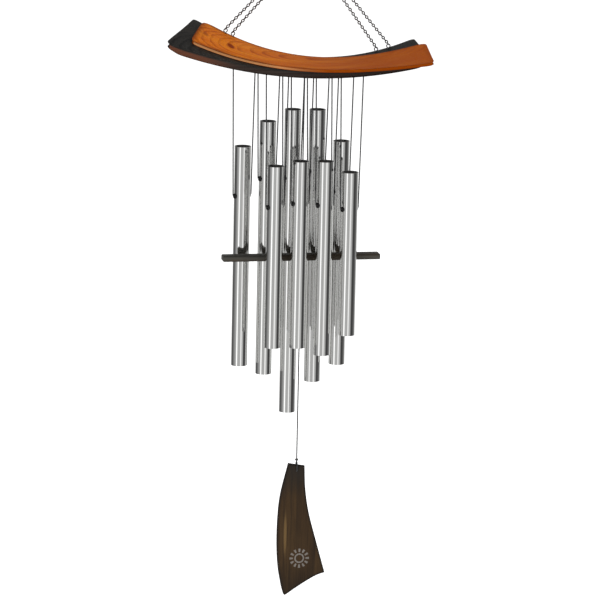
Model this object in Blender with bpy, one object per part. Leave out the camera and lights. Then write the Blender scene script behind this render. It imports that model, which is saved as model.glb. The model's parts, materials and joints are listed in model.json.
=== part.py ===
"""Garden wind chime: two crossed, curved boards hang on four chains and carry nine tubes in two rows around a long bar striker with a wooden sail."""

import math

import bmesh
import bpy
from mathutils import Vector

MM = 0.001
GAP = 0.3 * MM
CUTTER_REACH = 20 * MM

# Hanging ring. The frame's origin is the inside top of the ring, where a hook carries it.
RING_RADIUS = 13 * MM
RING_WIRE = 1.5 * MM
RING_Z = -(RING_RADIUS - RING_WIRE)

# Both boards follow one bent and slightly twisted surface: a heavier bend and twist at the back.
BOARD_Z = -158 * MM
BEND = 1.40
BEND_BACK = 9.0
ROLL = -0.080
TWIST = -0.92
PITCH = 0.03

# Corners of each board seen from above: front left, front right, back right, back left.
BASE_CORNERS = [(-0.173, -0.050), (0.140, -0.050), (0.141, 0.050), (-0.124, 0.050)]
BASE_THICK = 8.5 * MM
BASE_TIP_THICK = 5.5 * MM
BASE_TAPER = 0.016
TOP_CORNERS = [(-0.141, -0.030), (0.137, -0.085), (0.146, 0.005), (-0.112, 0.052)]
TOP_THICK = 3.5 * MM
BOARD_GAP = 0.4 * MM
BOARD_STEPS = (22, 4)
CORNER_ROUND = 6.0 * MM
EDGE_ROUND = 0.7 * MM

# Board screws, driven from below along the middle of the upper board, so that its face stays whole.
SCREW_SPOTS = [(-0.098, 0.007), (0.004, -0.014), (0.098, -0.032)]
SCREW_HEAD = 3.6 * MM
SCREW_RIM = 0.3 * MM
SCREW_SHANK = 1.6 * MM
SCREW_LENGTH = 9.0 * MM
SCREW_POINT = 1.2 * MM
SCREW_SINK = 1.6 * MM

# Chain eyes stand near the back edge, two a side. Each chain runs to the bottom of the ring.
EYE_SPOTS = {"l1": (-0.0885, 0.044), "l2": (-0.0795, 0.044), "r1": (0.095, 0.044), "r2": (0.110, 0.044)}
CHAIN_ENDS = {"l1": -4.8 * MM, "l2": -1.6 * MM, "r1": 1.6 * MM, "r2": 4.8 * MM}
CHAIN_TOP_Z = -27.6 * MM
CHAIN_RADIUS = 1.1 * MM
EYE_RADIUS = 2.1 * MM
EYE_WIRE = 0.6 * MM
EYE_SHANK = 7.0 * MM
EYE_LIFT = 0.9 * MM
EYE_START = -55
EYE_SWEEP = 290
EYE_STEPS = 14

# Tubes: (x, row side, top height, length). Rows lie behind and in front of the striker.
ROW_Y = 0.028
TUBE_RADIUS = 10.0 * MM
TUBE_WALL = 1.5 * MM
TUBE_NODE = 0.224
TUBES = {
    "back_1": (-0.068, 1, -0.2615, 0.268),
    "back_2": (-0.038, 1, -0.2315, 0.309),
    "back_3": (-0.008, 1, -0.2175, 0.371),
    "back_4": (0.022, 1, -0.2180, 0.333),
    "back_5": (0.052, 1, -0.2565, 0.274),
    "front_1": (-0.038, -1, -0.2760, 0.220),
    "front_2": (-0.008, -1, -0.2705, 0.226),
    "front_3": (0.022, -1, -0.2710, 0.235),
    "front_4": (0.052, -1, -0.2845, 0.198),
}

# Each tube hangs on one cord through a rubber sleeve in its cross holes.
SLEEVE_RADIUS = 3.2 * MM
SLEEVE_BORE = 1.3 * MM
SLEEVE_HALF = 11.3 * MM
SLEEVE_TURN = math.radians(24)
CORD_RADIUS = 0.8 * MM
CORD_SIDE = 13.4 * MM
CORD_BEND = 1.6 * MM
CORD_HOLE = 1.25 * MM
LOOP_DEPTH = 1.0 * MM
GROOVE_SLACK = 0.25 * MM
HOLE_PAST = 4.0 * MM
PIVOT_DROP = 0.8 * MM
PIVOT_GAP = 0.15 * MM

# Striker bar and its cord.
STRIKER_Z = -0.392
STRIKER_HALF = 0.0957
STRIKER_DEPTH = 16.0 * MM
STRIKER_THICK = 7.0 * MM
STRIKER_ROUND = 1.4 * MM
ANCHOR_RADIUS = 2.4 * MM
ANCHOR_SEAT = 2.9 * MM
ANCHOR_DEPTH = 5.6 * MM
KNOT_RADIUS = 2.2 * MM
KNOT_SQUASH = 0.8

# Sail, a flat panel seen from the front, hung on the striker's cord.
SAIL_THICK = 5.0 * MM
SAIL_ROUND = 0.9 * MM
SAIL_HOLE_Z = -0.656
SAIL_HOLE = 1.6 * MM
SAIL_TURN_Z = -0.6405
SAIL_LOOP_CLEAR = 0.5 * MM
SAIL_LOOP_BEND = 1.3 * MM
SAIL_LOOP_START = (0.9 * MM, 1.0 * MM)
SAIL_LOOP_SHOULDER = (0.5 * MM, 2.2 * MM)
SAIL_LOOP_STRAIGHT = 4.0 * MM
SAIL_SIDES = [
    [(-0.0105, -0.6465), (0.0098, -0.6500)],
    [(0.0098, -0.6500), (0.0112, -0.6780), (0.0160, -0.7085), (0.0262, -0.7460), (0.0372, -0.7845)],
    [(0.0372, -0.7845), (0.0250, -0.7888), (0.0060, -0.8000), (-0.0105, -0.8112)],
    [(-0.0105, -0.8112), (-0.0132, -0.8106), (-0.0165, -0.8000)],
    [(-0.0165, -0.8000), (-0.0208, -0.7760), (-0.0228, -0.7480), (-0.0224, -0.7150), (-0.0195, -0.6850), (-0.0105, -0.6465)],
]


def clear_scene():
    for obj in list(bpy.data.objects):
        bpy.data.objects.remove(obj, do_unlink=True)


def material(name, colour, roughness, metallic):
    mat = bpy.data.materials.new(name)
    mat.use_nodes = True
    shader = mat.node_tree.nodes["Principled BSDF"]
    shader.inputs["Base Color"].default_value = (*colour, 1)
    shader.inputs["Roughness"].default_value = roughness
    shader.inputs["Metallic"].default_value = metallic
    mat.diffuse_color = (*colour, 1)
    return mat


def add(name, data, mat=None, spot=(0, 0, 0)):
    obj = bpy.data.objects.new(name, data)
    obj.location = spot
    bpy.context.scene.collection.objects.link(obj)
    if mat:
        data.materials.append(mat)
    return obj


def mesh_from(bm, name):
    bmesh.ops.recalc_face_normals(bm, faces=bm.faces)
    mesh = bpy.data.meshes.new(name)
    bm.to_mesh(mesh)
    bm.free()
    return mesh


def smooth(mesh, degrees=35):
    mesh.shade_smooth()
    mesh.set_sharp_from_angle(angle=math.radians(degrees))
    return mesh


def as_cutter(obj):
    obj.hide_render = True
    obj.display_type = "WIRE"
    return obj


def cut(obj, cutter, name="cut"):
    boolean = obj.modifiers.new(name, "BOOLEAN")
    boolean.operation = "DIFFERENCE"
    boolean.solver = "EXACT"
    boolean.object = as_cutter(cutter)


def round_edges(obj, width, segments=1):
    bevel = obj.modifiers.new("round", "BEVEL")
    bevel.width = width
    bevel.segments = segments
    bevel.limit_method = "ANGLE"
    bevel.angle_limit = math.radians(45)


def turned(name, profile, sides, axis="Z"):
    """A closed solid turned about an axis. The profile is (radius, height) from the top down; radius 0 closes an end."""
    bm = bmesh.new()
    rings = []
    for radius, height in profile:
        if radius == 0:
            rings.append([bm.verts.new((0, 0, height))])
            continue
        rings.append([
            bm.verts.new((radius * math.cos(2 * math.pi * i / sides), radius * math.sin(2 * math.pi * i / sides), height))
            for i in range(sides)
        ])
    for a, b in zip(rings, rings[1:]):
        for i in range(sides):
            j = (i + 1) % sides
            corners = [a[i % len(a)], b[i % len(b)], b[j % len(b)], a[j % len(a)]]
            bm.faces.new(list(dict.fromkeys(corners)))
    if axis == "X":
        bmesh.ops.rotate(bm, verts=bm.verts, matrix=Vector((0, 0, 1)).rotation_difference(Vector((1, 0, 0))).to_matrix())
    return smooth(mesh_from(bm, name))


def rod(name, radius, axis="Z"):
    """A long plain cylinder about its own middle, to cut a hole with."""
    return turned(name, [(0, CUTTER_REACH), (radius, CUTTER_REACH), (radius, -CUTTER_REACH), (0, -CUTTER_REACH)], 12, axis)


def pipe_mesh(name, outer, inner, low, high, sides, axis="Z"):
    """An open pipe between two heights."""
    bm = bmesh.new()
    rings = []
    for radius, height in ((outer, high), (outer, low), (inner, low), (inner, high)):
        rings.append([
            bm.verts.new((radius * math.cos(2 * math.pi * i / sides), radius * math.sin(2 * math.pi * i / sides), height))
            for i in range(sides)
        ])
    for k in range(4):
        a, b = rings[k], rings[(k + 1) % 4]
        for i in range(sides):
            j = (i + 1) % sides
            bm.faces.new((a[i], b[i], b[j], a[j]))
    if axis == "X":
        bmesh.ops.rotate(bm, verts=bm.verts, matrix=Vector((0, 0, 1)).rotation_difference(Vector((1, 0, 0))).to_matrix())
    return smooth(mesh_from(bm, name))


def wire_data(name, points, radius, resolution=2, closed=False):
    curve = bpy.data.curves.new(name, "CURVE")
    curve.dimensions = "3D"
    curve.bevel_depth = radius
    curve.bevel_resolution = resolution
    curve.use_fill_caps = True
    spline = curve.splines.new("POLY")
    spline.points.add(len(points) - 1)
    for point, spot in zip(spline.points, points):
        point.co = (*spot, 1)
    spline.use_cyclic_u = closed
    return curve


def rise(x, y):
    """Height of the base board's upper face over its middle."""
    return (BEND + BEND_BACK * y) * x * x + (ROLL + TWIST * y) * x + PITCH * y


def base_top(x, y):
    return BOARD_Z + rise(x, y)


def base_under(x, y):
    return base_top(x, y) - BASE_THICK


def upper_top(x, y):
    return base_top(x, y) + BOARD_GAP + TOP_THICK


def board_mesh(name, corners, top, under):
    """A curved board over a four-sided plan; top and under give both faces' heights from (x, y, share along)."""
    steps_u, steps_v = BOARD_STEPS
    front_left, front_right, back_right, back_left = (Vector(c) for c in corners)
    bm = bmesh.new()

    def layer(height):
        rows = []
        for i in range(steps_u + 1):
            u = i / steps_u
            front = front_left.lerp(front_right, u)
            back = back_left.lerp(back_right, u)
            spots = [front.lerp(back, j / steps_v) for j in range(steps_v + 1)]
            rows.append([bm.verts.new((s.x, s.y, height(s.x, s.y, u))) for s in spots])
        return rows

    upper, lower = layer(top), layer(under)
    for i in range(steps_u):
        for j in range(steps_v):
            bm.faces.new((upper[i][j], upper[i + 1][j], upper[i + 1][j + 1], upper[i][j + 1]))
            bm.faces.new((lower[i][j], lower[i][j + 1], lower[i + 1][j + 1], lower[i + 1][j]))
        for j in (0, steps_v):
            bm.faces.new((upper[i][j], upper[i + 1][j], lower[i + 1][j], lower[i][j]))
    for i in (0, steps_u):
        for j in range(steps_v):
            bm.faces.new((upper[i][j], upper[i][j + 1], lower[i][j + 1], lower[i][j]))
    posts = [[upper[i][j], lower[i][j]] for i in (0, steps_u) for j in (0, steps_v)]
    edges = [edge for a, b in posts for edge in a.link_edges if edge.other_vert(a) is b]
    bmesh.ops.bevel(bm, geom=edges, offset=CORNER_ROUND, segments=3, profile=0.5, affect="EDGES")
    return smooth(mesh_from(bm, name), 40)


def base_under_tapered(x, y, u):
    """The base board thins towards both tips."""
    length = BASE_CORNERS[1][0] - BASE_CORNERS[0][0]
    share = min(1.0, min(u, 1 - u) * length / BASE_TAPER)
    share = share * share * (3 - 2 * share)
    return base_top(x, y) - (BASE_TIP_THICK + (BASE_THICK - BASE_TIP_THICK) * share)


def loop_path(x, y, end_z, depth):
    """The cord's way up through one hole, across the groove under the upper board, and down the next hole."""
    left, right = x - CORD_SIDE, x + CORD_SIDE
    heights = {side: base_top(side, y) - depth for side in (left, right)}
    points = [(left, y, end_z), (left, y, heights[left] - CORD_BEND)]
    points += [(left + CORD_BEND * (1 - math.cos(a)), y, base_top(left, y) - depth - CORD_BEND * (1 - math.sin(a)))
               for a in (math.radians(45),)]
    inner = 3
    first, last = left + CORD_BEND, right - CORD_BEND
    for i in range(inner + 1):
        px = first + (last - first) * i / inner
        points.append((px, y, base_top(px, y) - depth))
    points += [(right - CORD_BEND * (1 - math.cos(a)), y, base_top(right, y) - depth - CORD_BEND * (1 - math.sin(a)))
               for a in (math.radians(45),)]
    points += [(right, y, heights[right] - CORD_BEND), (right, y, end_z)]
    return points


def sling_path(top_z):
    """A tube's cord about its node: down one side from the board, through the turned sleeve and up the other side."""
    across = Vector((-math.cos(SLEEVE_TURN), -math.sin(SLEEVE_TURN), 0))
    out = SLEEVE_HALF + CORD_BEND
    half = [Vector((-CORD_SIDE, 0, top_z)), across * out + Vector((0, 0, CORD_BEND))]
    half += [across * (out - CORD_BEND * (1 - math.cos(a))) + Vector((0, 0, CORD_BEND * (1 - math.sin(a))))
             for a in (math.radians(45), math.radians(90))]
    return half + [Vector((-p.x, -p.y, p.z)) for p in reversed(half)]


def pivot_z(x, y):
    """Just below the lower of a tube's two cord holes."""
    return min(base_under(x - CORD_SIDE, y), base_under(x + CORD_SIDE, y)) - PIVOT_DROP


def empty(name, spot, parent=None):
    obj = bpy.data.objects.new(name, None)
    obj.empty_display_size = 0.01
    bpy.context.scene.collection.objects.link(obj)
    obj.location = spot
    if parent:
        obj.parent = parent
        obj.location = Vector(spot) - parent_spot(parent)
    return obj


def parent_spot(obj):
    spot = Vector((0, 0, 0))
    while obj:
        spot += obj.location
        obj = obj.parent
    return spot


def hang(obj, parent):
    """Puts an object placed in world coordinates under a pivot without moving it."""
    world = Vector(obj.location)
    obj.parent = parent
    obj.location = world - parent_spot(parent)
    return obj


def build_ring(mats):
    bm = bmesh.new()
    around, section = 40, 10
    rings = []
    for i in range(around):
        a = 2 * math.pi * i / around
        rings.append([
            bm.verts.new((
                (RING_RADIUS + RING_WIRE * math.cos(b)) * math.cos(a),
                RING_WIRE * math.sin(b),
                (RING_RADIUS + RING_WIRE * math.cos(b)) * math.sin(a),
            ))
            for b in (2 * math.pi * j / section for j in range(section))
        ])
    for i in range(around):
        a, b = rings[i], rings[(i + 1) % around]
        for j in range(section):
            k = (j + 1) % section
            bm.faces.new((a[j], a[k], b[k], b[j]))
    add("hanging_ring", smooth(mesh_from(bm, "hanging_ring")), mats["steel"], (0, 0, RING_Z))


def build_boards(mats, canopy):
    base = add("base_board", board_mesh("base_board", BASE_CORNERS, lambda x, y, u: base_top(x, y), base_under_tapered), mats["black_wood"])
    upper = add(
        "upper_board",
        board_mesh(
            "upper_board", TOP_CORNERS,
            lambda x, y, u: upper_top(x, y),
            lambda x, y, u: base_top(x, y) + BOARD_GAP,
        ),
        mats["honey_wood"],
    )
    round_edges(base, EDGE_ROUND)
    round_edges(upper, EDGE_ROUND)

    for name, (x, side, _, _) in TUBES.items():
        y = side * ROW_Y
        path = loop_path(x, y, pivot_z(x, y) - HOLE_PAST, LOOP_DEPTH - GROOVE_SLACK)
        groove = add("groove_" + name, wire_data("groove_" + name, path, CORD_HOLE, 1))
        cut(base, to_mesh(groove), name)
    seat = turned(
        "anchor_seat",
        [(0, CUTTER_REACH), (ANCHOR_SEAT, CUTTER_REACH), (ANCHOR_SEAT, -ANCHOR_DEPTH), (CORD_HOLE, -ANCHOR_DEPTH), (CORD_HOLE, -CUTTER_REACH), (0, -CUTTER_REACH)],
        16,
    )
    cut(base, add("anchor_seat", seat, None, (0, 0, base_top(0, 0))), "anchor")

    neck = SCREW_RIM + SCREW_HEAD - SCREW_SHANK
    for i, (x, y) in enumerate(SCREW_SPOTS):
        foot = base_under(x, y) + SCREW_SINK
        profile = [
            (0, SCREW_LENGTH), (SCREW_SHANK, SCREW_LENGTH - SCREW_POINT), (SCREW_SHANK, neck),
            (SCREW_HEAD, SCREW_RIM), (SCREW_HEAD, 0), (0, 0),
        ]
        hang(add(f"board_screw_{i + 1}", turned(f"board_screw_{i + 1}", profile, 16), mats["steel"], (x, y, foot)), canopy)
        hole = [
            (0, SCREW_LENGTH + GAP), (SCREW_SHANK + GAP, SCREW_LENGTH + GAP), (SCREW_SHANK + GAP, neck + GAP),
            (SCREW_HEAD + GAP, SCREW_RIM + GAP), (SCREW_HEAD + GAP, -CUTTER_REACH), (0, -CUTTER_REACH),
        ]
        cutter = add(f"screw_hole_{i + 1}", turned(f"screw_hole_{i + 1}", hole, 16), None, (x, y, foot))
        cut(base, cutter, f"screw_{i + 1}")
        cut(upper, cutter, f"screw_{i + 1}")

    for name, (x, y) in EYE_SPOTS.items():
        top = eye_foot(x, y)
        hole = [(0, CUTTER_REACH), (EYE_WIRE + GAP, CUTTER_REACH), (EYE_WIRE + GAP, -EYE_SHANK - GAP), (0, -EYE_SHANK - GAP)]
        cutter = add("eye_hole_" + name, turned("eye_hole_" + name, hole, 12), None, (x, y, top))
        cut(base, cutter, "eye_" + name)
        if x < 0:
            cut(upper, cutter, "eye_" + name)
    hang(base, canopy)
    hang(upper, canopy)


def to_mesh(obj):
    """Swaps a bevelled curve for the mesh that it draws, so that a Boolean can use it."""
    graph = bpy.context.evaluated_depsgraph_get()
    mesh = bpy.data.meshes.new_from_object(obj.evaluated_get(graph))
    swapped = bpy.data.objects.new(obj.name + "_cutter", mesh)
    bpy.context.scene.collection.objects.link(swapped)
    bpy.data.objects.remove(obj, do_unlink=True)
    return swapped


def eye_foot(x, y):
    """Top of the wood under an eye: the upper board on the left, the base board on the right."""
    return upper_top(x, y) if x < 0 else base_top(x, y)


def build_chains(mats, canopy):
    for name, (x, y) in EYE_SPOTS.items():
        foot = eye_foot(x, y)
        centre = EYE_RADIUS + EYE_WIRE + EYE_LIFT
        points = [(0, 0, -EYE_SHANK), (0, 0, -EYE_SHANK / 2), (0, 0, 0)]
        for degrees in evenly(EYE_START, EYE_START + EYE_SWEEP, EYE_STEPS):
            a = math.radians(degrees)
            points.append((EYE_RADIUS * math.cos(a), 0, centre + EYE_RADIUS * math.sin(a)))
        hang(add("chain_eye_" + name, wire_data("chain_eye_" + name, points, EYE_WIRE), mats["steel"], (x, y, foot)), canopy)
        start = Vector((x, y, foot + centre + EYE_RADIUS + EYE_WIRE))
        end = Vector((CHAIN_ENDS[name], 0, CHAIN_TOP_Z))
        along = (end - start).normalized()
        start += along * (CHAIN_RADIUS + GAP)
        length = (end - start).length
        bm = bmesh.new()
        bmesh.ops.create_cone(bm, cap_ends=True, segments=8, radius1=CHAIN_RADIUS, radius2=CHAIN_RADIUS, depth=length)
        chain = add("chain_" + name, smooth(mesh_from(bm, "chain_" + name)), mats["steel"], (start + end) / 2)
        chain.rotation_euler = Vector((0, 0, 1)).rotation_difference(along).to_euler()
        hang(chain, canopy)


def build_tube(name, mats, canopy):
    x, side, top, length = TUBES[name]
    y = side * ROW_Y
    pivot = empty("pivot_" + name, (x, y, pivot_z(x, y)), canopy)
    node_z = top - TUBE_NODE * length

    tube = add("tube_" + name, pipe_mesh("tube_" + name, TUBE_RADIUS, TUBE_RADIUS - TUBE_WALL, -length, 0, 24), mats["aluminium"], (x, y, top))
    cross = add("cross_hole_" + name, rod("cross_hole_" + name, SLEEVE_RADIUS + GAP, "X"), None, (x, y, node_z))
    cross.rotation_euler = (0, 0, SLEEVE_TURN)
    cut(tube, cross, "cross_holes")
    hang(tube, pivot)

    sleeve = pipe_mesh("sleeve_" + name, SLEEVE_RADIUS, SLEEVE_BORE, -SLEEVE_HALF, SLEEVE_HALF, 12, "X")
    liner = hang(add("sleeve_" + name, sleeve, mats["rubber"], (x, y, node_z)), pivot)
    liner.rotation_euler = (0, 0, SLEEVE_TURN)

    pivot_height = pivot_z(x, y)
    sling = wire_data("sling_" + name, sling_path(pivot_height - PIVOT_GAP - node_z), CORD_RADIUS)
    hang(add("sling_" + name, sling, mats["cord"], (x, y, node_z)), pivot)

    loop = wire_data("top_loop_" + name, loop_path(x, y, pivot_height + PIVOT_GAP, LOOP_DEPTH), CORD_RADIUS)
    hang(add("top_loop_" + name, loop, mats["cord"]), canopy)


def striker_pivot():
    return base_under(0, 0) - PIVOT_DROP


def build_striker(mats, canopy):
    """The bar, the cord that drops through it, the anchor in the board and the knot under the bar."""
    pivot_height = striker_pivot()
    pivot = empty("pivot_striker", (0, 0, pivot_height), canopy)

    bm = bmesh.new()
    bmesh.ops.create_cube(bm, size=1)
    bmesh.ops.scale(bm, verts=bm.verts, vec=(2 * STRIKER_HALF, STRIKER_DEPTH, STRIKER_THICK))
    bar = add("striker", smooth(mesh_from(bm, "striker")), mats["dark_wood"], (0, 0, STRIKER_Z))
    round_edges(bar, STRIKER_ROUND, 3)
    cut(bar, add("striker_hole", rod("striker_hole", CORD_RADIUS + GAP), None, (0, 0, STRIKER_Z)), "cord_hole")
    hang(bar, pivot)

    knot_top = STRIKER_Z - STRIKER_THICK / 2 - GAP
    cord = wire_data("striker_cord", [(0, 0, z) for z in evenly(pivot_height - PIVOT_GAP, knot_top - GAP, 8)], CORD_RADIUS)
    hang(add("striker_cord", cord, mats["cord"]), pivot)

    knot = turned("striker_knot", ball(KNOT_RADIUS, 6, KNOT_SQUASH), 12)
    knot_z = knot_top - 2 * GAP - KNOT_RADIUS * KNOT_SQUASH
    hang(add("striker_knot", knot, mats["cord"], (0, 0, knot_z)), pivot)

    middle = base_top(0, 0) - ANCHOR_DEPTH + GAP + ANCHOR_RADIUS
    stalk = middle - pivot_height - PIVOT_GAP
    profile = [(r, z) for r, z in ball(ANCHOR_RADIUS, 6, 1.0) if z > -ANCHOR_RADIUS * 0.9]
    profile += [(CORD_RADIUS, -ANCHOR_RADIUS * 0.95), (CORD_RADIUS, -stalk), (0, -stalk)]
    hang(add("striker_anchor", turned("striker_anchor", profile, 12), mats["cord"], (0, 0, middle)), canopy)
    return pivot, knot_z - KNOT_RADIUS * KNOT_SQUASH


def evenly(first, last, count):
    return [first + (last - first) * i / count for i in range(count + 1)]


def ball(radius, steps, squash):
    """Profile of a ball, top down."""
    return [
        (0 if i in (0, steps) else radius * math.sin(math.pi * i / steps), squash * radius * math.cos(math.pi * i / steps))
        for i in range(steps + 1)
    ]


def curve_through(points, steps):
    """A smooth open curve through the points, without its last point: a Catmull-Rom spline."""
    spots = [Vector(p) for p in points]
    spots = [2 * spots[0] - spots[1]] + spots + [2 * spots[-1] - spots[-2]]
    out = []
    for p0, p1, p2, p3 in zip(spots, spots[1:], spots[2:], spots[3:]):
        for k in range(steps):
            t = k / steps
            out.append(0.5 * (2 * p1 + (p2 - p0) * t + (2 * p0 - 5 * p1 + 4 * p2 - p3) * t * t + (3 * p1 - p0 - 3 * p2 + p3) * t ** 3))
    return out


def build_sail(mats, striker, line_top):
    swing = empty("pivot_sail_line", (0, 0, line_top - PIVOT_GAP), striker)
    turn = empty("pivot_sail", (0, 0, SAIL_TURN_Z), swing)

    cord = wire_data("sail_cord", [(0, 0, z) for z in evenly(line_top - GAP, SAIL_TURN_Z + PIVOT_GAP, 10)], CORD_RADIUS)
    hang(add("sail_cord", cord, mats["cord"]), swing)

    outline = [p for side in SAIL_SIDES for p in curve_through(side, 3)]
    bm = bmesh.new()
    face = bm.faces.new([bm.verts.new((p.x, -SAIL_THICK / 2, p.y)) for p in outline])
    extruded = bmesh.ops.extrude_face_region(bm, geom=[face])["geom"]
    bmesh.ops.translate(bm, verts=[v for v in extruded if isinstance(v, bmesh.types.BMVert)], vec=(0, SAIL_THICK, 0))
    panel = add("sail", smooth(mesh_from(bm, "sail"), 40), mats["dark_wood"])
    round_edges(panel, SAIL_ROUND)
    hole_cutter = add("sail_hole", rod("sail_hole", SAIL_HOLE), None, (0, 0, SAIL_HOLE_Z))
    hole_cutter.rotation_euler = (math.pi / 2, 0, 0)
    cut(panel, hole_cutter, "cord_hole")
    hang(panel, turn)

    knot_half = KNOT_RADIUS * KNOT_SQUASH
    knot_low = SAIL_TURN_Z - PIVOT_GAP - 2 * knot_half
    knot = turned("sail_knot", ball(KNOT_RADIUS, 6, KNOT_SQUASH), 12)
    hang(add("sail_knot", knot, mats["cord"], (0, 0, knot_low + knot_half)), turn)
    reach = SAIL_THICK / 2 + CORD_RADIUS + SAIL_LOOP_CLEAR
    bend = SAIL_LOOP_BEND
    start, shoulder = SAIL_LOOP_START, SAIL_LOOP_SHOULDER
    down = [(start[0], knot_low - start[1]), (reach - shoulder[0], knot_low - shoulder[1])]
    down += [(reach, knot_low - SAIL_LOOP_STRAIGHT), (reach, SAIL_HOLE_Z + bend)]
    down += [(reach - bend * (1 - math.cos(a)), SAIL_HOLE_Z + bend * (1 - math.sin(a))) for a in (math.radians(45), math.radians(90))]
    points = [(0, -py, pz) for py, pz in down] + [(0, py, pz) for py, pz in reversed(down)]
    hang(add("sail_loop", wire_data("sail_loop", points, CORD_RADIUS), mats["cord"]), turn)


def main():
    clear_scene()
    mats = {
        "steel": material("zinc plated steel", (0.45, 0.46, 0.48), 0.35, 1.0),
        "black_wood": material("black stained wood", (0.018, 0.015, 0.013), 0.4, 0.0),
        "honey_wood": material("honey stained wood", (0.50, 0.15, 0.02), 0.35, 0.0),
        "aluminium": material("polished aluminium", (0.80, 0.81, 0.83), 0.12, 1.0),
        "rubber": material("black rubber", (0.01, 0.01, 0.01), 0.6, 0.0),
        "cord": material("grey polyester cord", (0.42, 0.42, 0.42), 0.7, 0.0),
        "dark_wood": material("dark walnut stained wood", (0.045, 0.022, 0.014), 0.45, 0.0),
    }
    build_ring(mats)
    canopy = empty("pivot_canopy", (0, 0, RING_Z - RING_RADIUS))
    build_boards(mats, canopy)
    build_chains(mats, canopy)
    for name in TUBES:
        build_tube(name, mats, canopy)
    striker, line_top = build_striker(mats, canopy)
    build_sail(mats, striker, line_top)


main()
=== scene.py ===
"""Garden wind chime: link chains, polished tubes on laid cords, stained boards, a striker and a sail."""

import json
import math

import bmesh
import bpy
from mathutils import Matrix, Vector


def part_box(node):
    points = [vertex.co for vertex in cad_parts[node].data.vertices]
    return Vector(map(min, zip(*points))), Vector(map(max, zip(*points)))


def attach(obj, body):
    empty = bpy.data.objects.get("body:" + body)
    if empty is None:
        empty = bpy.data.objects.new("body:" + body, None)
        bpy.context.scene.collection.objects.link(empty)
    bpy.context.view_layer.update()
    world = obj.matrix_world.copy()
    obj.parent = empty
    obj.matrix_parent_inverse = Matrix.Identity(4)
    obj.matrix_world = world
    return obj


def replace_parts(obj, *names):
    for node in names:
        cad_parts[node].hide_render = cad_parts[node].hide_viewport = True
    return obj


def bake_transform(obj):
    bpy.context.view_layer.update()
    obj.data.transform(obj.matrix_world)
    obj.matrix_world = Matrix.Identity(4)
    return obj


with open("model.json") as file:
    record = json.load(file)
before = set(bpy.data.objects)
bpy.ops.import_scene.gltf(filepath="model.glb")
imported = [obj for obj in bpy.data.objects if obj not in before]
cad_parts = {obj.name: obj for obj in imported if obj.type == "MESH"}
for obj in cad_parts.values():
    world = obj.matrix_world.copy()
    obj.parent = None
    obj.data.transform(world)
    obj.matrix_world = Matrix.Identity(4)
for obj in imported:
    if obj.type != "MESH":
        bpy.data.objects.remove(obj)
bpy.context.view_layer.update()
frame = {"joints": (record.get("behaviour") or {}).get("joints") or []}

MM = 0.001
TAU = 2 * math.pi

TUBES = ["back_1", "back_2", "back_3", "back_4", "back_5", "front_1", "front_2", "front_3", "front_4"]
PIVOTS = {joint["child"]: Vector(joint["pos_m"]) for joint in frame["joints"]}


# ---------------------------------------------------------------- camera

# The eye stands five metres off, a little left of straight on and a little above.
SIGHT_DISTANCE = 5.0
SIGHT_HEIGHT = math.radians(12)
SIGHT_LEFT = math.radians(11)
SIGHT_LEAN = math.radians(1.2)
SIGHT_TARGET = Vector((0, 0, -0.445))
SIGHT_LENS = 250


def set_camera():
    """A long lens, leaning a little, as a hand-held one does."""
    ahead = Vector((
        math.sin(SIGHT_LEFT) * math.cos(SIGHT_HEIGHT),
        math.cos(SIGHT_LEFT) * math.cos(SIGHT_HEIGHT),
        -math.sin(SIGHT_HEIGHT),
    ))
    level = Vector((math.cos(SIGHT_LEFT), -math.sin(SIGHT_LEFT), 0))
    over = level.cross(ahead)
    right = level * math.cos(SIGHT_LEAN) + over * math.sin(SIGHT_LEAN)
    up = over * math.cos(SIGHT_LEAN) - level * math.sin(SIGHT_LEAN)
    data = bpy.data.cameras.new("studio_camera")
    data.lens = SIGHT_LENS
    data.sensor_width = 36
    data.clip_end = 100
    camera = bpy.data.objects.new("studio_camera", data)
    bpy.context.scene.collection.objects.link(camera)
    turn = Matrix((right, up, -ahead)).transposed().to_4x4()
    camera.matrix_world = Matrix.Translation(SIGHT_TARGET - ahead * SIGHT_DISTANCE) @ turn
    bpy.context.scene.camera = camera


# ---------------------------------------------------------------- materials

def linear(hex_colour):
    """sRGB hex to linear light."""
    parts = [int(hex_colour[i:i + 2], 16) / 255 for i in (1, 3, 5)]
    return (*[p / 12.92 if p <= 0.04045 else ((p + 0.055) / 1.055) ** 2.4 for p in parts], 1)


def add_node(tree, kind, inputs=None, stops=None, out=0, **settings):
    """Adds one node with its settings, its inputs' values or links and a ramp's stops, and returns one output."""
    node = tree.nodes.new(kind)
    for name, value in settings.items():
        setattr(node, name, value)
    for name, value in (inputs or {}).items():
        if isinstance(value, bpy.types.NodeSocket):
            tree.links.new(value, node.inputs[name])
        else:
            node.inputs[name].default_value = value
    if stops:
        ramp = node.color_ramp
        while len(ramp.elements) < len(stops):
            ramp.elements.new(0.5)
        for element, (place, colour) in zip(ramp.elements, stops):
            element.position = place
            element.color = linear(colour) if isinstance(colour, str) else (colour, colour, colour, 1)
    return node.outputs[out] if node.outputs else None


def new_material(name):
    """An empty material with its shader and the piece's own coordinates in metres."""
    material = bpy.data.materials.new(name)
    material.use_nodes = True
    tree = material.node_tree
    shader = tree.nodes["Principled BSDF"]
    place = add_node(tree, "ShaderNodeTexCoord", out="Object")
    return material, tree, shader, place


def plug(tree, shader, **inputs):
    """Sets or links the shader's own sockets."""
    for name, value in inputs.items():
        socket = shader.inputs[name.replace("_", " ")]
        if isinstance(value, bpy.types.NodeSocket):
            tree.links.new(value, socket)
        else:
            socket.default_value = value


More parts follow.
